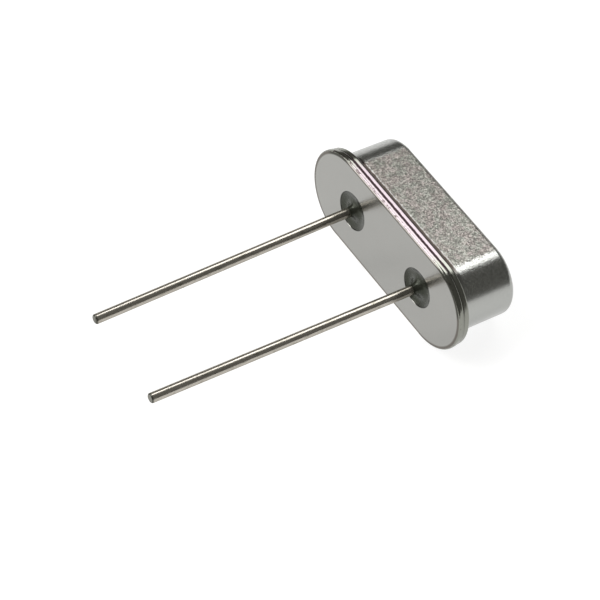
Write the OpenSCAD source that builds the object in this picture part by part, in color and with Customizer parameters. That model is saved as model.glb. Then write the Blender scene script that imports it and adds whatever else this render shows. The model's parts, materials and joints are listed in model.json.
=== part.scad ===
// Two-lead quartz crystal in a low, flat metal can.
//
// Each piece is drawn upright: the base's lower face is at z = 0, the can stands up from it
// and the leads hang down. The whole is then laid down on one broad side, resting on the
// base's rim and the can's top edge. X runs from the left lead to the right one.

/* [Leads] */
// Distance between the two lead axes
lead_pitch = 4.88; // [4.6:0.02:5.2]
// Diameter of a lead below the glass, with its plating
lead_d = 0.43; // [0.38:0.01:0.48]
// Thickness of the plating on a lead below the glass
plating_t = 0.005; // [0.003:0.001:0.02]
// Length of the left lead below the base, along the wire
lead_left_len = 12.83; // [6:0.01:16]
// Length of the right lead below the base, along the wire
lead_right_len = 12.91; // [6:0.01:16]
// Angle by which the left lead leans towards the right one
lead_left_lean = 1.7; // [0:0.1:3]
// Angle by which the right lead leans towards the left one
lead_right_lean = 0; // [0:0.1:3]
// Length of the straight root of a lead that leans, below the base
lead_root = 0.8; // [0.4:0.05:1.2]
// Radius of the bend between that root and the rest, at the wire's axis
lead_bend_r = 1; // [0.5:0.1:2]
// Radius of the edge round a lead's cut tip
tip_round = 0.08; // [0.02:0.01:0.15]
// Diameter of the flat head on a lead's inner end
head_d = 0.9; // [0.6:0.05:1.2]
// Thickness of that head
head_t = 0.12; // [0.08:0.01:0.16]
// Length of lead between the glass and the head
neck_h = 0.1; // [0.05:0.01:0.15]

/* [Base plate] */
// Length of the base's flange
base_l = 10.85; // [10.6:0.05:11.5]
// Width of the base's flange
base_w = 4.45; // [4.3:0.05:5]
// Thickness of the base's flange
base_t = 0.28; // [0.25:0.01:0.4]
// Radius of the flange's lower edge
base_edge_r = 0.1; // [0.04:0.01:0.14]
// Radius of each of the two edges that face across the weld line
weld_edge_r = 0.07; // [0.04:0.01:0.09]
// Height of the raised platform above the flange
platform_h = 0.45; // [0.3:0.01:0.5]
// Gap all round between the platform and the can's wall
platform_gap = 0.04; // [0.02:0.01:0.1]
// Radius of the platform's upper edge
platform_edge_r = 0.12; // [0.05:0.01:0.2]

/* [Glass seals] */
// Diameter of a seal and of its hole in the base
seal_d = 1.75; // [1.5:0.01:2]
// Depth of the seal's rim in from the base's lower face
seal_recess = 0.03; // [0.01:0.01:0.06]
// Depth of the dish between the seal's rim and the lead
seal_dish = 0.08; // [0.03:0.01:0.12]
// Radius of the hole's lower edge
hole_edge_r = 0.03; // [0.01:0.005:0.04]

/* [Can] */
// Length of the can above its flange
can_l = 9.9; // [9.7:0.05:10.2]
// Width of the can above its flange
can_w = 3.45; // [3.2:0.05:3.7]
// Height from the base's lower face to the can's top
overall_h = 3.3; // [3.2:0.05:4.2]
// Thickness of the can's sheet
can_wall = 0.2; // [0.12:0.01:0.25]
// Radius of the can's top edge, outside
can_top_r = 0.3; // [0.3:0.05:0.7]
// Thickness of the can's flange
can_flange_t = 0.3; // [0.24:0.01:0.36]
// Radius of the upper edge of the can's flange
can_flange_edge_r = 0.1; // [0.04:0.01:0.14]
// Distance of the can's flange in from the rim of the base
can_flange_inset = 0.06; // [0.02:0.01:0.1]
// Radius between the can's flange and its wall
can_fillet = 0.14; // [0.05:0.01:0.18]

/* [Crystal] */
// Length of the quartz strip
blank_l = 8; // [7.6:0.05:8.4]
// Height of the quartz strip, across its length
blank_h = 1.7; // [1.5:0.05:1.75]
// Thickness of the quartz strip
blank_t = 0.14; // [0.08:0.01:0.2]
// Gap between the quartz strip and the clips' feet
blank_lift = 0.1; // [0.06:0.01:0.14]
// Thickness of an electrode film
film_t = 0.01; // [0.005:0.001:0.02]
// Length of an electrode
electrode_l = 4.6; // [4:0.1:5.4]
// Height of an electrode
electrode_h = 1.3; // [1:0.05:1.4]
// Height of the tab from an electrode to the strip's end
tab_h = 0.5; // [0.3:0.05:0.8]

/* [Spring clips] */
// Width of a clip
clip_w = 1; // [0.8:0.05:1.2]
// Thickness of a clip's sheet
clip_t = 0.08; // [0.06:0.01:0.1]
// Inside radius of a clip's bend
clip_bend_r = 0.1; // [0.05:0.01:0.15]
// Height of a clip's upright above its foot
clip_h = 1.25; // [1:0.05:1.4]
// Length of a clip's foot past the lead's axis
foot_past = 0.4; // [0.3:0.05:0.5]
// Length of the quartz strip that stands out past a clip
grip = 0.2; // [0.12:0.01:0.25]
// Gap between the slot in a clip and what passes through it
slot_gap = 0.01; // [0.005:0.005:0.03]
// Radius of an adhesive dot
dot_r = 0.4; // [0.32:0.01:0.45]
// Height of an adhesive dot, out from the clip
dot_h = 0.32; // [0.28:0.01:0.36]

/* [Hidden] */
$fn = 96;

// Heights, from the base's lower face up
can_flange_top = base_t + can_flange_t;
platform_top = base_t + platform_h;
head_z = platform_top + neck_h;
foot_z = head_z + head_t;
blank_z = foot_z + clip_t + blank_lift;
blank_mid_z = blank_z + blank_h / 2;

// Radii and lengths worked out from the sizes above
lead_r = lead_d / 2;
core_r = lead_r - plating_t;
seal_r = seal_d / 2;
can_flange_l = base_l - 2 * can_flange_inset;
can_flange_w = base_w - 2 * can_flange_inset;
cavity_l = can_l - 2 * can_wall;
cavity_w = can_w - 2 * can_wall;
cavity_top_r = can_top_r - can_wall;
clip_x = blank_l / 2 - grip;
slot_w = blank_t + 2 * film_t + 2 * slot_gap;

// Angle between the part's broad side and what it lies on, if a rounded edge of the rim
// with its centre at (y, z) and radius r touches first
function lie_angle(y, z, r) =
    let (dy = y - (can_w / 2 - can_top_r), dz = overall_h - can_top_r - z)
    atan(dy / dz) - asin((can_top_r - r) / norm([dy, dz]));
rest_tilt = max(
    lie_angle(base_w / 2 - weld_edge_r, base_t - weld_edge_r, weld_edge_r),
    lie_angle(can_flange_w / 2 - weld_edge_r, base_t + weld_edge_r, weld_edge_r),
    lie_angle(can_flange_w / 2 - can_flange_edge_r, can_flange_top - can_flange_edge_r,
              can_flange_edge_r));

// Reach of the part once it lies, from the middle of the base's lower face
rest_drop = (can_w / 2 - can_top_r) * cos(rest_tilt)
            + (overall_h - can_top_r) * sin(rest_tilt) + can_top_r;
can_reach = (can_w / 2 - can_top_r) * sin(rest_tilt)
            + (overall_h - can_top_r) * cos(rest_tilt) + can_top_r;
lead_reach = max(wire_reach(lead_left_len, lead_left_lean),
                 wire_reach(lead_right_len, lead_right_lean));

// Reach of one lead once it lies: its tip's rounded edge is a ring across the leaning wire
function wire_reach(free_len, lean) =
    let (straight = free_len - lead_root - bend_len(lean) - tip_round)
    let (depth = lead_root + lead_bend_r * sin(lean) + straight * cos(lean))
    let (along = cos(lean) * cos(rest_tilt))
    depth * cos(rest_tilt) + (lead_r - tip_round) * sqrt(1 - along * along) + tip_round;

// Length of wire in a bend
function bend_len(lean) = lead_bend_r * lean * PI / 180;

// Lays an upright piece down at rest, with the middle of the whole part over the origin
module at_rest() {
    translate([0, (lead_reach - can_reach) / 2, rest_drop])
        rotate([-90 - rest_tilt, 0, 0])
            children();
}

// Half of a section: a bar from the middle out to half_w and from z0 to z1, with rounded
// outer corners. A radius of 0 leaves a corner sharp.
module bar_section(half_w, z0, z1, low_r, high_r) {
    difference() {
        translate([0, z0]) square([half_w, z1 - z0]);
        corner_cut(half_w, z0, low_r, 1);
        corner_cut(half_w, z1, high_r, -1);
    }
}

// What rounding an outer corner at (x, z) takes away. side is 1 below the bar and -1 above.
module corner_cut(x, z, r, side) {
    if (r > 0)
        difference() {
            translate([x - r, side > 0 ? z : z - r]) square(r);
            translate([x - r, z + side * r]) circle(r);
        }
}

// Solid with straight sides and round ends, of length l and width w, whose half section
// is the child
module round_ended(l, w) {
    straight = l - w;
    for (end = [-1, 1])
        translate([end * straight / 2, 0, 0])
            rotate([0, 0, -90 * end])
                rotate_extrude(angle = 180) children();
    rotate([90, 0, 90])
        linear_extrude(straight, center = true) {
            children();
            mirror([1, 0]) children();
        }
}

// The drawn can: a flange, a wall and a top of one sheet
module can_cover() {
    color([0.66, 0.64, 0.61]) at_rest()
        difference() {
            union() {
                round_ended(can_flange_l, can_flange_w)
                    bar_section(can_flange_w / 2, base_t, can_flange_top,
                                weld_edge_r, can_flange_edge_r);
                round_ended(can_l, can_w) can_outer_section();
            }
            round_ended(cavity_l, cavity_w)
                bar_section(cavity_w / 2, base_t, overall_h - can_wall, 0, cavity_top_r);
        }
}

// Half section of the can's outside, with the hollow curve down onto the flange
module can_outer_section() {
    half = can_w / 2;
    bar_section(half, base_t, overall_h, 0, can_top_r);
    difference() {
        translate([half - can_wall, base_t])
            square([can_wall + can_fillet, can_flange_t + can_fillet]);
        translate([half + can_fillet, can_flange_top + can_fillet]) circle(can_fillet);
    }
}

// The base: a flange, a raised platform inside the can and two holes for the seals
module base_plate() {
    platform_l = cavity_l - 2 * platform_gap;
    platform_w = cavity_w - 2 * platform_gap;
    color([0.62, 0.62, 0.61]) at_rest()
        difference() {
            union() {
                round_ended(base_l, base_w)
                    bar_section(base_w / 2, 0, base_t, base_edge_r, weld_edge_r);
                round_ended(platform_l, platform_w)
                    bar_section(platform_w / 2, base_t / 2, platform_top, 0, platform_edge_r);
            }
            for (side = [-1, 1])
                translate([side * lead_pitch / 2, 0, 0])
                    rotate_extrude() seal_hole_section();
        }
}

// Half section of a seal's hole, which widens a little at the base's lower face
module seal_hole_section() {
    translate([0, -base_t]) square([seal_r, base_t + 2 * platform_top]);
    difference() {
        translate([0, -base_t]) square([seal_r + hole_edge_r, base_t + hole_edge_r]);
        translate([seal_r + hole_edge_r, hole_edge_r]) circle(hole_edge_r);
    }
}

// A ring of glass between the base and a lead, dished where it shows
module glass_seal(side) {
    span = seal_r - core_r;
    dish_r = (span * span / 4 + seal_dish * seal_dish) / (2 * seal_dish);
    color([0.27, 0.29, 0.27]) at_rest()
        translate([side * lead_pitch / 2, 0, 0])
            rotate_extrude()
                difference() {
                    translate([core_r, seal_recess])
                        square([span, platform_top - seal_recess]);
                    translate([core_r + span / 2, seal_recess + seal_dish - dish_r])
                        circle(dish_r);
                }
}

// A wire lead: plated below the glass, bare through it, with a flat head inside the can.
// A lead that leans is straight at its root, then bends towards the other lead.
module lead(side, free_len, lean) {
    straight_len = lean > 0 ? lead_root : free_len;
    color([0.58, 0.56, 0.52]) at_rest()
        translate([side * lead_pitch / 2, 0, 0]) {
            rotate_extrude() {
                bar_section(lead_r, -straight_len, seal_recess, lean > 0 ? 0 : tip_round, 0);
                bar_section(core_r, 0, head_z + head_t / 2, 0, 0);
                bar_section(head_d / 2, head_z, foot_z, 0, 0);
            }
            if (lean > 0)
                mirror([side > 0 ? 1 : 0, 0, 0])
                    translate([lead_bend_r, 0, -lead_root])
                        leaning_wire(free_len - lead_root, lean);
        }
}

// The rest of a lead that leans: a bend towards +X round the origin, then a straight run
module leaning_wire(len, lean) {
    rotate([90, 0, 0])
        rotate([0, 0, 180])
            rotate_extrude(angle = lean)
                translate([lead_bend_r, 0]) circle(lead_r);
    rotate([0, -lean, 0])
        translate([-lead_bend_r, 0, 0])
            rotate_extrude()
                bar_section(lead_r, bend_len(lean) - len, 0, tip_round, 0);
}

// A bent strip: a foot welded to a lead's head, and an upright slotted for the quartz
module spring_clip(side) {
    foot_in = lead_pitch / 2 - foot_past;
    outer_r = clip_bend_r + clip_t;
    bend_x = clip_x - outer_r;
    bend_z = foot_z + outer_r;
    color([0.75, 0.74, 0.7]) at_rest()
        mirror([side < 0 ? 1 : 0, 0, 0])
            difference() {
                rotate([90, 0, 0])
                    linear_extrude(clip_w, center = true) {
                        translate([foot_in, foot_z]) square([bend_x - foot_in, clip_t]);
                        translate([clip_x - clip_t, bend_z])
                            square([clip_t, foot_z + clip_h - bend_z]);
                        intersection() {
                            translate([bend_x, bend_z]) difference() {
                                circle(outer_r);
                                circle(clip_bend_r);
                            }
                            translate([bend_x, foot_z]) square(outer_r);
                        }
                    }
                translate([clip_x - 2 * clip_t, -slot_w / 2, blank_z - slot_gap])
                    cube([4 * clip_t, slot_w, blank_h]);
            }
}

// The strip of quartz, on edge between the clips
module quartz_blank() {
    color([0.86, 0.9, 0.9]) at_rest() blank_box();
}

module blank_box() {
    translate([-blank_l / 2, -blank_t / 2, blank_z]) cube([blank_l, blank_t, blank_h]);
}

// A film on one broad side of the quartz, with a tab to one end. face is the side of the
// quartz along Y, and side is the end that the tab runs to.
module electrode(face, side) {
    color([0.83, 0.83, 0.82]) at_rest() electrode_film(face, side);
}

module electrode_film(face, side) {
    translate([0, face * (blank_t + film_t) / 2, blank_mid_z]) {
        cube([electrode_l, film_t, electrode_h], center = true);
        translate([side * blank_l / 4, 0, 0])
            cube([blank_l / 2, film_t, tab_h], center = true);
    }
}

// A dot of conductive adhesive that bonds the end of the quartz and its tab to a clip
module adhesive_dot(side) {
    cap_r = (dot_r * dot_r + dot_h * dot_h) / (2 * dot_h);
    color([0.55, 0.55, 0.56]) at_rest()
        difference() {
            translate([side * clip_x, 0, foot_z + clip_h - dot_r])
                rotate([0, side * 90, 0])
                    rotate_extrude()
                        intersection() {
                            translate([0, dot_h - cap_r]) circle(cap_r);
                            square([dot_r, dot_h]);
                        }
            blank_box();
            electrode_film(side, side);
        }
}

can_cover();
base_plate();
glass_seal(-1);  // glass_seal_left
glass_seal(1);  // glass_seal_right
lead(-1, lead_left_len, lead_left_lean);  // lead_left
lead(1, lead_right_len, lead_right_lean);  // lead_right
spring_clip(-1);  // spring_clip_left
spring_clip(1);  // spring_clip_right
quartz_blank();
electrode(-1, -1);  // electrode_front
electrode(1, 1);  // electrode_back
adhesive_dot(-1);  // adhesive_dot_left
adhesive_dot(1);  // adhesive_dot_right
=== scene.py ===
"""A two-lead quartz crystal in a low, flat metal can, lying on one broad side.

The can, the base, the glass seals and the leads are made again over their solids, with
finer edges, and the pieces sealed inside keep their solids. Each piece is drawn upright in
millimetres, with the base's lower face at z = 0, the can above it and the leads below, and
is then laid down where the frame's seat mount says.
"""
import json
import math

import bmesh
import bpy
from mathutils import Matrix, Vector


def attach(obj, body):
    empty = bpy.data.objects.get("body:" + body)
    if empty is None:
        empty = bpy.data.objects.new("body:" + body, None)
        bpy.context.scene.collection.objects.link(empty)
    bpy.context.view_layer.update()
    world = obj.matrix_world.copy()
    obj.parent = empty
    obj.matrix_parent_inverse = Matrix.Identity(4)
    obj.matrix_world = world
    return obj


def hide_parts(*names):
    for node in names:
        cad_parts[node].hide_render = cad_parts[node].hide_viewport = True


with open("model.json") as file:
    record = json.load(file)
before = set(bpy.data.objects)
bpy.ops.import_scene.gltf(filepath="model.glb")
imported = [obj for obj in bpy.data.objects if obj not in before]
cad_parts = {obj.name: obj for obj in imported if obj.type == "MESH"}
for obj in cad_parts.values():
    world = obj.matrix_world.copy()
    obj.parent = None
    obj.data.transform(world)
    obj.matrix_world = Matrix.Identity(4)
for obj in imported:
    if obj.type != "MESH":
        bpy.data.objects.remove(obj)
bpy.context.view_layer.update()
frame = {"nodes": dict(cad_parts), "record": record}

MM = 0.001
BODY = "root"

# Steps in an arc of a section, round a half-turn end and round a wire or a seal
ARC_STEPS = 10
END_STEPS = 64
ROUND_STEPS = 72
# Points closer than this are one point, and an edge that turns more than this is sharp
MERGE = 0.00002
SHARP = math.radians(40)


# ---- Where the part lies, and its sizes ----

def upright_to_rest():
    """From the part's upright axes, in millimetres, to where it lies, in metres"""
    seat = next(m for m in frame["record"]["mounts"] if m["name"] == "seat")
    up = -Vector(seat["axis"]).normalized()
    along = Vector((1, 0, 0))
    turn = Matrix((along, up.cross(along), up)).transposed().to_4x4()
    return Matrix.Translation(seat["pos_m"]) @ turn @ Matrix.Scale(MM, 4)


LAY_DOWN = upright_to_rest()
STAND_UP = LAY_DOWN.inverted()


def upright_box(node, above=-math.inf, below=math.inf):
    """Lowest and highest corner of a solid when upright, between two heights"""
    points = [STAND_UP @ v.co for v in frame["nodes"][node].data.vertices]
    points = [p for p in points if above <= p.z <= below]
    return (Vector(min(p[i] for p in points) for i in range(3)),
            Vector(max(p[i] for p in points) for i in range(3)))


BASE_LOW, BASE_HIGH = upright_box("base_plate")
BASE_L = BASE_HIGH.x - BASE_LOW.x
BASE_W = BASE_HIGH.y - BASE_LOW.y
PLATFORM_TOP = BASE_HIGH.z
BASE_EDGE_R = 0.1
WELD_EDGE_R = 0.07
PLATFORM_EDGE_R = 0.12
PLATFORM_GAP = 0.04

FLANGE_LOW, CAN_TOP = upright_box("can_cover")
BASE_T = FLANGE_LOW.z
FLANGE_L = CAN_TOP.x - FLANGE_LOW.x
FLANGE_W = CAN_TOP.y - FLANGE_LOW.y
FLANGE_T = 0.3
FLANGE_TOP = BASE_T + FLANGE_T
FLANGE_EDGE_R = 0.1
CAN_LOW, CAN_HIGH = upright_box("can_cover", above=(FLANGE_TOP + CAN_TOP.z) / 2)
CAN_L = CAN_HIGH.x - CAN_LOW.x
CAN_W = CAN_HIGH.y - CAN_LOW.y
CAN_WALL = 0.2
CAN_TOP_R = 0.3
CAN_FILLET = 0.14
CAN_STRAIGHT = CAN_L - CAN_W

# Painted shade: a dark line along the groove between base and can flange, and a dark band from
# the flange's edge up to the wall's foot
GROOVE_Z = BASE_T - 0.024
FOOT_LOW = FLANGE_TOP - 0.13
FOOT_HIGH = FLANGE_TOP + 0.32

SEAL_LOW, SEAL_HIGH = upright_box("glass_seal_right")
SEAL_R = (SEAL_HIGH.x - SEAL_LOW.x) / 2
SEAL_X = (SEAL_HIGH.x + SEAL_LOW.x) / 2
SEAL_RECESS = SEAL_LOW.z
# The glass slopes from its rim to a valley with a flat, most of which the rounding takes,
# and climbs the wire from there as a thin skin
SEAL_VALLEY = SEAL_RECESS + 0.085
SEAL_FLAT = 0.08
SEAL_ROUNDED = 0.9
SEAL_SKIN = 0.004
HOLE_EDGE_R = 0.045

ROOT_LOW, ROOT_HIGH = upright_box("lead_right", below=0)
LEAD_R = (ROOT_HIGH.x - ROOT_LOW.x) / 2
PLATING = 0.005
TIP_ROUND = 0.08
# The head's own points are all more than this above the platform
HEAD_GAP = 0.05
# A lead is straight down to its root's end, and leans below a bend of this radius
LEAD_ROOT = 0.8
LEAD_BEND_R = 1.0
# Side, length below the base, lean, and how far the glass climbs each lead
LEADS = {"left": {"side": -1, "length": 12.83, "lean": math.radians(1.7), "climb": 0.21},
         "right": {"side": 1, "length": 12.91, "lean": 0.0, "climb": 0.3}}


# ---- Making shapes ----

def section(shape, corners):
    """Wire through (distance out, height, corner radius) points; gives its edges"""
    old = set(shape.edges)
    points = [shape.verts.new((0, out, height)) for out, height, radius in corners]
    for pair in zip(points, points[1:]):
        shape.edges.new(pair)
    for point, (out, height, radius) in zip(points, corners):
        if radius:
            round_corner(shape, point, radius)
    return [edge for edge in shape.edges if edge not in old]


def round_corner(shape, point, radius):
    """Turns a corner of a wire into an arc"""
    legs = [edge.other_vert(point).co - point.co for edge in point.link_edges]
    reach = radius / math.tan(legs[0].angle(legs[1]) / 2)
    bmesh.ops.bevel(shape, geom=[point], offset=reach, offset_type="OFFSET",
                    segments=ARC_STEPS, profile=0.5, affect="VERTICES", material=-1)


def ends_of(edges):
    """The points of some edges, each once"""
    return list({point for edge in edges for point in edge.verts})


def turn_round(shape, edges, x):
    """Turns a section all round an upright axis at x"""
    bmesh.ops.translate(shape, verts=ends_of(edges), vec=(x, 0, 0))
    bmesh.ops.spin(shape, geom=edges + ends_of(edges), cent=(x, 0, 0), axis=(0, 0, 1),
                   angle=2 * math.pi, steps=ROUND_STEPS, use_merge=True)


def run_round_ended(shape, edges, straight):
    """Takes a section round a shape with two straight sides and two round ends"""
    half = straight / 2
    bmesh.ops.translate(shape, verts=ends_of(edges), vec=(half, 0, 0))
    for end in (1, -1):
        turned = bmesh.ops.spin(shape, geom=edges + ends_of(edges), cent=(end * half, 0, 0),
                                axis=(0, 0, -1), angle=math.pi, steps=END_STEPS)
        last = [e for e in turned["geom_last"] if isinstance(e, bmesh.types.BMEdge)]
        side = bmesh.ops.extrude_edge_only(shape, edges=last)["geom"]
        points = [v for v in side if isinstance(v, bmesh.types.BMVert)]
        bmesh.ops.translate(shape, verts=points, vec=(-end * straight, 0, 0))
        moved = set(points)
        edges = [e for e in side if isinstance(e, bmesh.types.BMEdge)
                 and moved.issuperset(e.verts)]


def fill_flat(shape, height):
    """Closes the flat at one height between its outline and its holes"""
    rim = [e for e in shape.edges
           if e.is_boundary and all(abs(v.co.z - height) < MERGE for v in e.verts)]
    bmesh.ops.triangle_fill(shape, edges=rim, use_beauty=True, use_dissolve=False)


def sort_parts(parts, key):
    """Puts a shape's points, edges or faces in the order of a key"""
    place = {part: i for i, part in enumerate(sorted(parts, key=key))}
    parts.sort(key=place.get)
    parts.index_update()


def settle_order(shape):
    """Puts the parts of a shape in one order, because operators vary it from run to run"""
    sort_parts(shape.verts, lambda point: point.co[:])
    for parts in (shape.edges, shape.faces):
        sort_parts(parts, lambda part: sorted(point.index for point in part.verts))


def make_piece(name, shape, replaced, material):
    """Lays a shape down and makes it a piece of the part"""
    bmesh.ops.remove_doubles(shape, verts=shape.verts[:], dist=MERGE)
    bmesh.ops.recalc_face_normals(shape, faces=shape.faces[:])
    settle_order(shape)
    shape.transform(LAY_DOWN)
    mesh = bpy.data.meshes.new(name)
    shape.to_mesh(mesh)
    shape.free()
    mesh.shade_smooth()
    mesh.set_sharp_from_angle(angle=SHARP)
    piece = bpy.data.objects.new(name, mesh)
    bpy.context.collection.objects.link(piece)
    mesh.materials.append(material)
    normals = piece.modifiers.new("flat_faces", "WEIGHTED_NORMAL")
    normals.keep_sharp = True
    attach(piece, BODY)
    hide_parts(replaced)
    return piece


# ---- The pieces that show ----

def can_cover(material):
    """One drawn sheet: a flange, a wall and a top with a rounded edge"""
    shape = bmesh.new()
    half = CAN_W / 2
    inner_top = CAN_TOP.z - CAN_WALL
    edges = section(shape, [
        (0, CAN_TOP.z, 0),
        (half, CAN_TOP.z, CAN_TOP_R),
        (half, FLANGE_TOP, CAN_FILLET),
        (FLANGE_W / 2, FLANGE_TOP, FLANGE_EDGE_R),
        (FLANGE_W / 2, BASE_T, WELD_EDGE_R),
        (half - CAN_WALL, BASE_T, 0),
        (half - CAN_WALL, inner_top, CAN_TOP_R - CAN_WALL),
        (0, inner_top, 0),
    ])
    run_round_ended(shape, edges, CAN_STRAIGHT)
    return make_piece("can_shell", shape, "can_cover", material)


def base_plate(material):
    """One stamped plate: a rim, a platform inside the can and a hole for each seal"""
    shape = bmesh.new()
    edge_in = BASE_W / 2 - 2 * BASE_EDGE_R
    platform = CAN_W / 2 - CAN_WALL - PLATFORM_GAP
    edges = section(shape, [
        (edge_in, 0, 0),
        (BASE_W / 2, 0, BASE_EDGE_R),
        (BASE_W / 2, BASE_T, WELD_EDGE_R),
        (platform, BASE_T, 0),
        (platform, PLATFORM_TOP, PLATFORM_EDGE_R),
        (platform - 2 * PLATFORM_EDGE_R, PLATFORM_TOP, 0),
    ])
    run_round_ended(shape, edges, BASE_L - BASE_W)
    for side in (-1, 1):
        edges = section(shape, [
            (SEAL_R + 2 * HOLE_EDGE_R, 0, 0),
            (SEAL_R, 0, HOLE_EDGE_R),
            (SEAL_R, PLATFORM_TOP, 0),
        ])
        turn_round(shape, edges, side * SEAL_X)
    bmesh.ops.remove_doubles(shape, verts=shape.verts[:], dist=MERGE)
    fill_flat(shape, 0)
    fill_flat(shape, PLATFORM_TOP)
    return make_piece("base", shape, "base_plate", material)


def glass_seal(name, material):
    """A ring of glass, dished where it shows, that climbs a little up the lead"""
    shape = bmesh.new()
    core = LEAD_R - PLATING
    skin = LEAD_R + SEAL_SKIN
    climb = LEADS[name]["climb"]
    climb_r = climb + SEAL_VALLEY
    valley = skin + climb_r + SEAL_FLAT
    slope = math.atan2(SEAL_VALLEY - SEAL_RECESS, SEAL_R - valley)
    valley_r = SEAL_ROUNDED * SEAL_FLAT / math.tan(slope / 2)
    edges = section(shape, [
        (core, PLATFORM_TOP, 0),
        (SEAL_R, PLATFORM_TOP, 0),
        (SEAL_R, SEAL_RECESS, 0),
        (valley, SEAL_VALLEY, valley_r),
        (skin, SEAL_VALLEY, climb_r),
        (skin, -climb - SEAL_SKIN, 0),
        (LEAD_R, -climb - SEAL_SKIN, 0),
        (LEAD_R, SEAL_RECESS, 0),
        (core, SEAL_RECESS, 0),
        (core, PLATFORM_TOP, 0),
    ])
    turn_round(shape, edges, LEADS[name]["side"] * SEAL_X)
    return make_piece("seal_" + name, shape, "glass_seal_" + name, material)


def lead(name, material):
    """A wire: plated below the glass, bare through it, with a flat head inside the can"""
    shape = bmesh.new()
    node = "lead_" + name
    head_low, head_high = upright_box(node, above=PLATFORM_TOP + HEAD_GAP)
    head_r = (head_high.x - head_low.x) / 2
    core = LEAD_R - PLATING
    edges = section(shape, [
        (0, -LEADS[name]["length"], 0),
        (LEAD_R, -LEADS[name]["length"], TIP_ROUND),
        (LEAD_R, -LEAD_ROOT - LEAD_BEND_R * LEADS[name]["lean"], 0),
        (LEAD_R, -LEAD_ROOT, 0),
        (LEAD_R, SEAL_RECESS, 0),
        (core, SEAL_RECESS, 0),
        (core, head_low.z, 0),
        (head_r, head_low.z, 0),
        (head_r, head_high.z, 0),
        (0, head_high.z, 0),
    ])
    turn_round(shape, edges, LEADS[name]["side"] * SEAL_X)
    if LEADS[name]["lean"]:
        bend_lead(shape, LEADS[name]["side"], LEADS[name]["lean"])
    return make_piece("wire_" + name, shape, node, material)


def bend_lead(shape, side, lean):
    """Bends a lead towards the other one, below its straight root"""
    below = [v for v in shape.verts if v.co.z < -LEAD_ROOT - MERGE]
    bmesh.ops.translate(shape, verts=below, vec=(0, 0, LEAD_BEND_R * lean))
    bmesh.ops.rotate(shape, verts=below, cent=(side * (SEAL_X - LEAD_BEND_R), 0, -LEAD_ROOT),
                     matrix=Matrix.Rotation(side * lean, 3, "Y"))


# ---- Finishes ----

# Where a Mix node keeps its colours, after its sockets for numbers and vectors
MIX_FIRST = 6
MIX_SECOND = 7
MIX_RESULT = 2

# Colours that the can and the base share
RIM_PLAIN = (0.25, 0.255, 0.225)
# A dark colour painted as shade along the groove between base and can flange
GROOVE_SHADE = (0.035, 0.022, 0.025)


class Finish:
    """A procedural material whose patterns follow the upright part, in millimetres"""

    def __init__(self, name, color, metallic, roughness):
        self.material = bpy.data.materials.new(name)
        self.material.use_nodes = True
        self.tree = self.material.node_tree
        self.shader = self.tree.nodes["Principled BSDF"]
        self.set(self.shader, {"Base Color": color, "Metallic": metallic,
                               "Roughness": roughness})
        self.place = self.upright_place()

    def give(self, socket, value):
        """Gives an input a link, or a number or colour as it is"""
        if isinstance(value, bpy.types.NodeSocket):
            self.tree.links.new(value, socket)
        elif socket.type == "RGBA" and len(value) == 3:
            socket.default_value = (*value, 1)
        else:
            socket.default_value = value

    def set(self, node, values):
        """Gives a node's inputs their values, by name"""
        for name, value in values.items():
            self.give(node.inputs[name], value)
        return node

    def add(self, kind, values=None, **settings):
        """Adds a node with its settings and inputs"""
        node = self.tree.nodes.new("ShaderNode" + kind)
        for name, value in settings.items():
            setattr(node, name, value)
        return self.set(node, values or {})

    def upright_place(self):
        """Place on the upright part, in millimetres"""
        seat, turn, _ = LAY_DOWN.decompose()
        where = self.add("TexCoord").outputs["Object"]
        return self.add("Mapping", {"Vector": where, "Location": seat,
                                    "Rotation": turn.to_euler(), "Scale": (MM, MM, MM)},
                        vector_type="TEXTURE").outputs["Vector"]

    def axes(self):
        """The place's three distances"""
        return self.add("SeparateXYZ", {"Vector": self.place}).outputs[:3]

    def stretched(self, x, y, z):
        """The place, with each axis scaled"""
        return self.add("Mapping", {"Vector": self.place, "Scale": (x, y, z)}).outputs["Vector"]

    def noise(self, scale, detail=2.0, rough=0.5, place=None):
        """Soft noise, scale per millimetre"""
        return self.add("TexNoise", {"Vector": place or self.place, "Scale": scale,
                                     "Detail": detail, "Roughness": rough}).outputs["Fac"]

    def between(self, amount, low, high, to_low=0.0, to_high=1.0):
        """Maps a range of an amount to another, kept inside it"""
        return self.add("MapRange", {"Value": amount, "From Min": low, "From Max": high,
                                     "To Min": to_low, "To Max": to_high}).outputs["Result"]

    def mix_color(self, amount, first, second, blend="MIX"):
        """A colour between two"""
        node = self.add("Mix", {"Factor": amount}, data_type="RGBA", blend_type=blend)
        self.give(node.inputs[MIX_FIRST], first)
        self.give(node.inputs[MIX_SECOND], second)
        return node.outputs[MIX_RESULT]

    def tinted(self, color, tint):
        """A colour times another"""
        return self.mix_color(1, color, tint, "MULTIPLY")

    def math(self, operation, first, second=0.0):
        """One sum"""
        node = self.add("Math", operation=operation)
        for socket, value in zip(node.inputs, (first, second)):
            self.give(socket, value)
        return node.outputs[0]

    def bump(self, height, depth, normal=None):
        """Small relief, depth in metres"""
        values = {"Height": height, "Distance": depth, "Strength": 1.0}
        if normal:
            values["Normal"] = normal
        return self.add("Bump", values).outputs["Normal"]


def along_straight(f, x, start, end, least=0.0):
    """1 on the straight sides, and falling to the least between two places past their ends"""
    return f.between(f.math("ABSOLUTE", x), CAN_STRAIGHT / 2 + start, CAN_STRAIGHT / 2 + end,
                     1.0, least)


def groove_shade(f, x, z):
    """How far shade is painted along the groove between base and can flange, less round the ends
    """
    away = f.math("ABSOLUTE", f.math("SUBTRACT", z, GROOVE_Z))
    ragged = f.math("ADD", away, f.between(f.noise(9, 2.0), 0.3, 0.7, -0.01, 0.01))
    along = along_straight(f, x, 0.2, 1.0, 0.1)
    return f.math("MULTIPLY", along, f.between(ragged, 0.07, 0.095, 1.0, 0.0))


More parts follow.
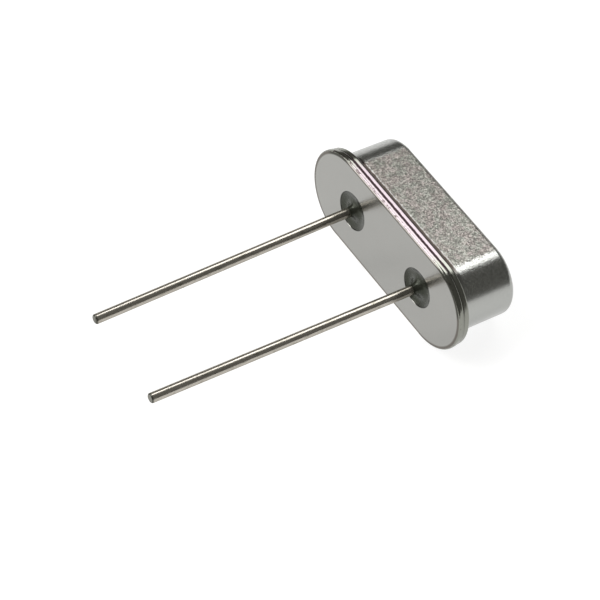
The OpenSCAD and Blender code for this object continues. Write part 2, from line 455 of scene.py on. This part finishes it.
def foot_shade(f, x, z):
    """How far shade is painted from the flange's upper edge to the wall's foot"""
    ragged = f.math("ADD", z, f.between(f.noise(3, 3.0, 0.6), 0.35, 0.65, -0.02, 0.02))
    along = along_straight(f, x, 0.1, 1.1)
    low = f.math("MULTIPLY", along, f.between(z, FOOT_LOW, FOOT_LOW + 0.03))
    return f.math("MULTIPLY", low, f.between(ragged, FOOT_HIGH, FOOT_HIGH + 0.1, 1.0, 0.0))


def rim_tint(f, x, plain, warm):
    """Colour of a rim: plain round the ends and warmer along the straight edges"""
    return f.mix_color(along_straight(f, x, -0.6, 0.0), plain, warm)


def from_seal(f, x, y):
    """How far out from the rim of the nearer seal"""
    beside = f.math("SUBTRACT", f.math("ABSOLUTE", x), SEAL_X)
    out = f.math("SQRT", f.math("ADD", f.math("MULTIPLY", beside, beside),
                                f.math("MULTIPLY", y, y)))
    return f.math("SUBTRACT", out, SEAL_R)


def edge_distance(f, x, y):
    """How far in from the base's outline"""
    past = f.math("MAXIMUM", f.math("SUBTRACT", f.math("ABSOLUTE", x), (BASE_L - BASE_W) / 2))
    out = f.math("SQRT", f.math("ADD", f.math("MULTIPLY", past, past), f.math("MULTIPLY", y, y)))
    return f.math("SUBTRACT", BASE_W / 2, out)


def can_metal():
    """Stippled on the flat broad sides, and smoother round the ends, edges and flange"""
    f = Finish("can_nickel", (0.36, 0.35, 0.34), 1.0, 0.3)
    x, _, z = f.axes()
    grain = f.math("ADD", f.math("MULTIPLY", f.noise(13, 1.0), 0.45),
                   f.math("MULTIPLY", f.noise(30, 1.0), 0.55))
    beyond = f.math("SUBTRACT", f.math("ABSOLUTE", x), CAN_STRAIGHT / 2)
    thinned = f.math("ADD", beyond, f.between(grain, 0.3, 0.7, -0.12, 0.12))
    side = f.between(thinned, 0.03, 0.2, 1.0, 0.0)
    above = f.between(z, FOOT_HIGH + 0.02, FOOT_HIGH + 0.1)
    below = f.between(z, CAN_TOP.z - 0.14, CAN_TOP.z - 0.08, 1.0, 0.0)
    stipple = f.math("MULTIPLY", f.math("MULTIPLY", side, above), below)
    shade = f.mix_color(f.between(grain, 0.42, 0.66), (0.117, 0.114, 0.107), (0.5, 0.484, 0.46))
    tint = f.mix_color(f.between(f.noise(2.5, 4.0, 0.7), 0.42, 0.58), (0.96, 1.0, 0.95),
                       (1.03, 0.965, 0.955))
    # Painted light: the stippled wall's colour goes from darker at one end of the straight side
    # to lighter at the other, as light falling across it
    painted_light_falloff = f.mix_color(f.between(x, -CAN_STRAIGHT / 2, CAN_STRAIGHT / 2), (0.88, 0.88, 0.87),
                        (1.12, 1.12, 1.12))
    trace = f.math("MULTIPLY", f.math("SUBTRACT", grain, 0.5),
                   f.between(beyond, 0.9, 1.5, 1.0, 0.1))
    raised = f.math("MULTIPLY", f.math("MULTIPLY", trace, above),
                    f.between(stipple, 0.0, 1.0, 0.35, 1.0))
    smooth = f.mix_color(f.between(trace, -0.12, 0.12), (0.28, 0.285, 0.27),
                         (0.49, 0.495, 0.475))
    rim = rim_tint(f, x, RIM_PLAIN, (0.305, 0.262, 0.282))
    # Painted shade along the groove between base and can flange
    flange = f.mix_color(groove_shade(f, x, z), rim, GROOVE_SHADE)
    low = f.mix_color(f.between(z, FLANGE_TOP, FLANGE_TOP + 0.02), flange, smooth)
    # Painted shade: a dark band from the flange's upper edge to the wall's foot
    foot = f.mix_color(foot_shade(f, x, z), low, (0.04, 0.032, 0.027))
    f.set(f.shader, {
        "Base Color": f.mix_color(stipple, foot, f.tinted(f.tinted(shade, tint), painted_light_falloff)),
        "Roughness": f.math("MAXIMUM", f.between(beyond, 0.25, 0.9, 0.18, 0.24),
                            f.between(stipple, 0.0, 1.0, 0.18, 0.34)),
        "Normal": f.bump(raised, 0.00002),
    })
    return f.material


def base_metal():
    """Smooth satin face with a painted dark reflection and then a painted highlight at its edge,
    a bright rim, and a darker ring round each seal hole with a painted glint on one side
    """
    f = Finish("base_nickel", (0.38, 0.38, 0.37), 1.0, 0.2)
    x, y, z = f.axes()
    bright = rim_tint(f, x, RIM_PLAIN, (0.3, 0.262, 0.275))
    rough = f.math("ADD", f.noise(9, 2.0, 0.6), f.between(x, -3, 3, -0.07, 0.04))
    nicks = f.math("MULTIPLY", f.between(rough, 0.34, 0.44, 1.0, 0.0),
                   f.between(z, 0.09, 0.13, 1.0, 0.2))
    rim = f.mix_color(nicks, bright, (0.1, 0.08, 0.078))
    # Painted shade along the groove between base and can flange
    groove_shaded = f.mix_color(groove_shade(f, x, z), rim, GROOVE_SHADE)
    face = f.mix_color(f.noise(0.8, 3.0), (0.329, 0.328, 0.31), (0.35, 0.347, 0.329))
    inset = edge_distance(f, x, y)
    # Painted dark reflection: a dark line just inside the face's edge, darker still round the
    # ends and along the upper side
    ends = f.between(f.math("ABSOLUTE", x), CAN_STRAIGHT / 2 - 0.1, CAN_STRAIGHT / 2 + 0.3)
    upper = f.between(f.math("SUBTRACT", y, f.between(x, -3, 3, -1.6, -0.85)), -0.1, 0.15,
                      1.0, 0.0)
    line = f.mix_color(f.math("MULTIPLY", ends, upper), (0.14, 0.128, 0.112), (0.05, 0.05, 0.04))
    painted_dark_edge = f.mix_color(f.between(inset, 0.14, 0.2, 1.0, 0.0), face, line)
    # Painted highlight: a bright line along the face's edge on the straight sides, none round
    # the ends
    painted_edge_highlight = f.math("SUBTRACT", f.between(inset, 0.08, 0.105, 1.0, 0.0), ends)
    edge = f.mix_color(painted_edge_highlight, painted_dark_edge, (0.78, 0.735, 0.665))
    on_rim = f.between(z, 0.006, 0.014)
    rimmed = f.mix_color(on_rim, edge, groove_shaded)
    # Darker round each seal hole, with a painted glint on its +y side
    ring = f.between(from_seal(f, x, y), 0.03, 0.045, 1.0, 0.0)
    painted_glint = f.between(y, SEAL_R + 0.012, SEAL_R + 0.018)
    hole_ring_and_glint = f.mix_color(painted_glint, (0.06, 0.06, 0.053), (0.62, 0.61, 0.57))
    f.set(f.shader, {
        "Base Color": f.mix_color(ring, rimmed, hole_ring_and_glint),
        "Roughness": f.between(on_rim, 0.0, 1.0, 0.22, 0.16),
        "Normal": f.bump(f.noise(14, 2.0), 0.0000015),
    })
    return f.material


def seal_glass():
    """Dark grey-green glass"""
    f = Finish("seal_dark_glass", (0.018, 0.024, 0.018), 0.0, 0.22)
    cloud = f.noise(5.0, 3.0)
    f.set(f.shader, {
        "Base Color": f.mix_color(cloud, (0.024, 0.025, 0.019), (0.042, 0.045, 0.035)),
        "Specular IOR Level": 0.42,
        "Roughness": f.between(f.noise(9.0), 0.3, 0.7, 0.15, 0.3),
        "Normal": f.bump(f.noise(12, 2.0), 0.000008),
        "Specular Tint": (0.88, 0.94, 0.77),
    })
    return f.material


def lead_metal(name):
    """Plated wire with fine lines from drawing along it, and a bare cut end"""
    f = Finish("lead_drawn_" + name, (0.43, 0.4, 0.35), 0.87, 0.12)
    z = f.axes()[2]
    lines = f.noise(26, 3.0, 0.6, f.stretched(1, 1, 0.06))
    drawn = f.mix_color(f.between(lines, 0.35, 0.65), (0.415, 0.387, 0.342), (0.53, 0.5, 0.447))
    spots = f.between(f.noise(7, 2.0, 0.5, f.stretched(1, 1, 0.4)), 0.3, 0.42)
    plated = f.mix_color(spots, (0.33, 0.313, 0.265), drawn)
    tip = -LEADS[name]["length"]
    cut = f.between(z, tip + 0.04, tip + 0.09, 1.0, 0.0)
    face = f.between(z, tip + 0.004, tip + 0.012, 1.0, 0.0)
    bare = f.mix_color(face, (0.1, 0.1, 0.085), (0.3, 0.3, 0.28))
    f.set(f.shader, {
        "Base Color": f.mix_color(cut, plated, bare),
        "Roughness": f.math("MAXIMUM", f.between(f.noise(6.0), 0.3, 0.7, 0.18, 0.23),
                            f.math("MULTIPLY", cut, 0.35)),
        "Normal": f.bump(lines, 0.000001),
        "Specular Tint": (0.4, 0.38, 0.34),
    })
    return f.material


def inner_finish(name, dark, light, metallic, roughness, grain, depth):
    """A plain finish for a piece sealed inside"""
    f = Finish(name, light, metallic, roughness)
    cloud = f.noise(grain, 3.0)
    f.set(f.shader, {
        "Base Color": f.mix_color(cloud, dark, light),
        "Roughness": f.between(cloud, 0.3, 0.7, roughness * 0.8, roughness * 1.2),
        "Normal": f.bump(cloud, depth),
    })
    return f


def quartz_finish():
    """Clear quartz, finely lapped"""
    f = inner_finish("quartz_lapped", (0.86, 0.9, 0.9), (0.93, 0.95, 0.95), 0.0, 0.35,
                     20, 0.000004)
    f.set(f.shader, {"Transmission Weight": 0.85, "IOR": 1.54})
    return f.material


def dress_inner_pieces():
    """Finishes for the pieces inside, which keep their solids"""
    clip = inner_finish("clip_strip", (0.6, 0.59, 0.55), (0.7, 0.69, 0.65), 1.0, 0.25,
                        8, 0.000002).material
    film = inner_finish("silver_film", (0.78, 0.78, 0.76), (0.88, 0.88, 0.86), 1.0, 0.15,
                        10, 0.000001).material
    dot = inner_finish("silver_resin", (0.36, 0.36, 0.37), (0.5, 0.5, 0.51), 0.3, 0.6,
                       24, 0.00002).material
    quartz = quartz_finish()
    for node, material in {
        "spring_clip_left": clip, "spring_clip_right": clip,
        "quartz_blank": quartz,
        "electrode_front": film, "electrode_back": film,
        "adhesive_dot_left": dot, "adhesive_dot_right": dot,
    }.items():
        slots = frame["nodes"][node].data.materials
        slots.clear()
        slots.append(material)


# ---- Floor, light and camera ----

FLOOR_HALF = 3
BOX_DISTANCE = 2
# Each lamp's name, direction from the part, width, height and radiance
SOFT_BOXES = (
    ("back_box", (-0.35, 0.612, 0.71), 1.1, 0.8, 3.5),
    ("top_box", (-0.42, -0.36, 0.83), 1.1, 0.6, 5.0),
    ("side_box", (-0.505, 0.12, 0.855), 1.35, 0.5, 1.8),
    ("front_box", (-0.505, -0.724, 0.47), 1.1, 1.7, 2.4),
)


def make_floor():
    """A pale floor that reads white and keeps a soft shadow"""
    shape = bmesh.new()
    bmesh.ops.create_grid(shape, x_segments=8, y_segments=8, size=FLOOR_HALF)
    mesh = bpy.data.meshes.new("floor")
    shape.to_mesh(mesh)
    shape.free()
    floor = bpy.data.objects.new("floor", mesh)
    bpy.context.collection.objects.link(floor)
    material = bpy.data.materials.new("pale_floor")
    material.use_nodes = True
    tree = material.node_tree
    tree.nodes.clear()
    rays = tree.nodes.new("ShaderNodeLightPath")
    seen = rays.outputs["Is Camera Ray"]
    for kind in ("Is Glossy Ray", "Is Transmission Ray"):
        either = tree.nodes.new("ShaderNodeMath")
        either.operation = "MAXIMUM"
        tree.links.new(seen, either.inputs[0])
        tree.links.new(rays.outputs[kind], either.inputs[1])
        seen = either.outputs[0]
    matt = tree.nodes.new("ShaderNodeBsdfDiffuse")
    matt.inputs["Color"].default_value = (0.35, 0.35, 0.35, 1)
    glow = tree.nodes.new("ShaderNodeEmission")
    glow.inputs["Strength"].default_value = 0.86
    both = tree.nodes.new("ShaderNodeAddShader")
    tree.links.new(matt.outputs[0], both.inputs[0])
    tree.links.new(glow.outputs[0], both.inputs[1])
    plain = tree.nodes.new("ShaderNodeBsdfDiffuse")
    plain.inputs["Color"].default_value = (0.8, 0.8, 0.8, 1)
    choose = tree.nodes.new("ShaderNodeMixShader")
    tree.links.new(seen, choose.inputs[0])
    tree.links.new(plain.outputs[0], choose.inputs[1])
    tree.links.new(both.outputs[0], choose.inputs[2])
    output = tree.nodes.new("ShaderNodeOutputMaterial")
    tree.links.new(choose.outputs[0], output.inputs["Surface"])
    mesh.materials.append(material)


def soft_box(name, direction, width, height, radiance):
    """A rectangular soft lamp that faces the part"""
    lamp = bpy.data.lights.new(name, "AREA")
    lamp.shape = "RECTANGLE"
    lamp.size = width
    lamp.size_y = height
    lamp.energy = radiance * width * height * math.pi
    holder = bpy.data.objects.new(name, lamp)
    toward = Vector(direction).normalized()
    holder.location = toward * BOX_DISTANCE
    holder.rotation_euler = toward.to_track_quat("Z", "Y").to_euler()
    bpy.context.collection.objects.link(holder)


def make_light():
    """Soft boxes from the front, above, one side and the back, and a dim room"""
    for box in SOFT_BOXES:
        soft_box(*box)
    world = bpy.data.worlds.new("room")
    world.use_nodes = True
    ground = world.node_tree.nodes["Background"]
    ground.inputs["Color"].default_value = (0.148, 0.146, 0.136, 1)
    ground.inputs["Strength"].default_value = 1
    bpy.context.scene.world = world


def make_camera():
    """The camera, by its direction from the part, its distance and its roll"""
    azimuth, elevation, roll = (math.radians(a) for a in (59.248, 53.971, 2.372))
    looked_at = Vector((0.128, 0.315, 2.0)) * MM
    distance = 96.37 * MM
    back = Vector((math.sin(azimuth) * math.cos(elevation),
                   -math.cos(azimuth) * math.cos(elevation), math.sin(elevation)))
    level = Vector((0, 0, 1)).cross(back).normalized()
    upward = back.cross(level)
    right = level * math.cos(roll) - upward * math.sin(roll)
    up = upward * math.cos(roll) + level * math.sin(roll)
    lens = bpy.data.cameras.new("camera")
    lens.sensor_width = 36
    lens.lens = 138.83
    lens.clip_start = 0.01
    lens.clip_end = 20
    camera = bpy.data.objects.new("camera", lens)
    turn = Matrix((right, up, back)).transposed().to_4x4()
    camera.matrix_world = Matrix.Translation(looked_at + back * distance) @ turn
    bpy.context.collection.objects.link(camera)
    bpy.context.scene.camera = camera


def main():
    bpy.context.scene.view_settings.view_transform = "Standard"
    can_cover(can_metal())
    base_plate(base_metal())
    glass = seal_glass()
    for name in LEADS:
        glass_seal(name, glass)
        lead(name, lead_metal(name))
    dress_inner_pieces()
    make_floor()
    make_light()
    make_camera()


main()
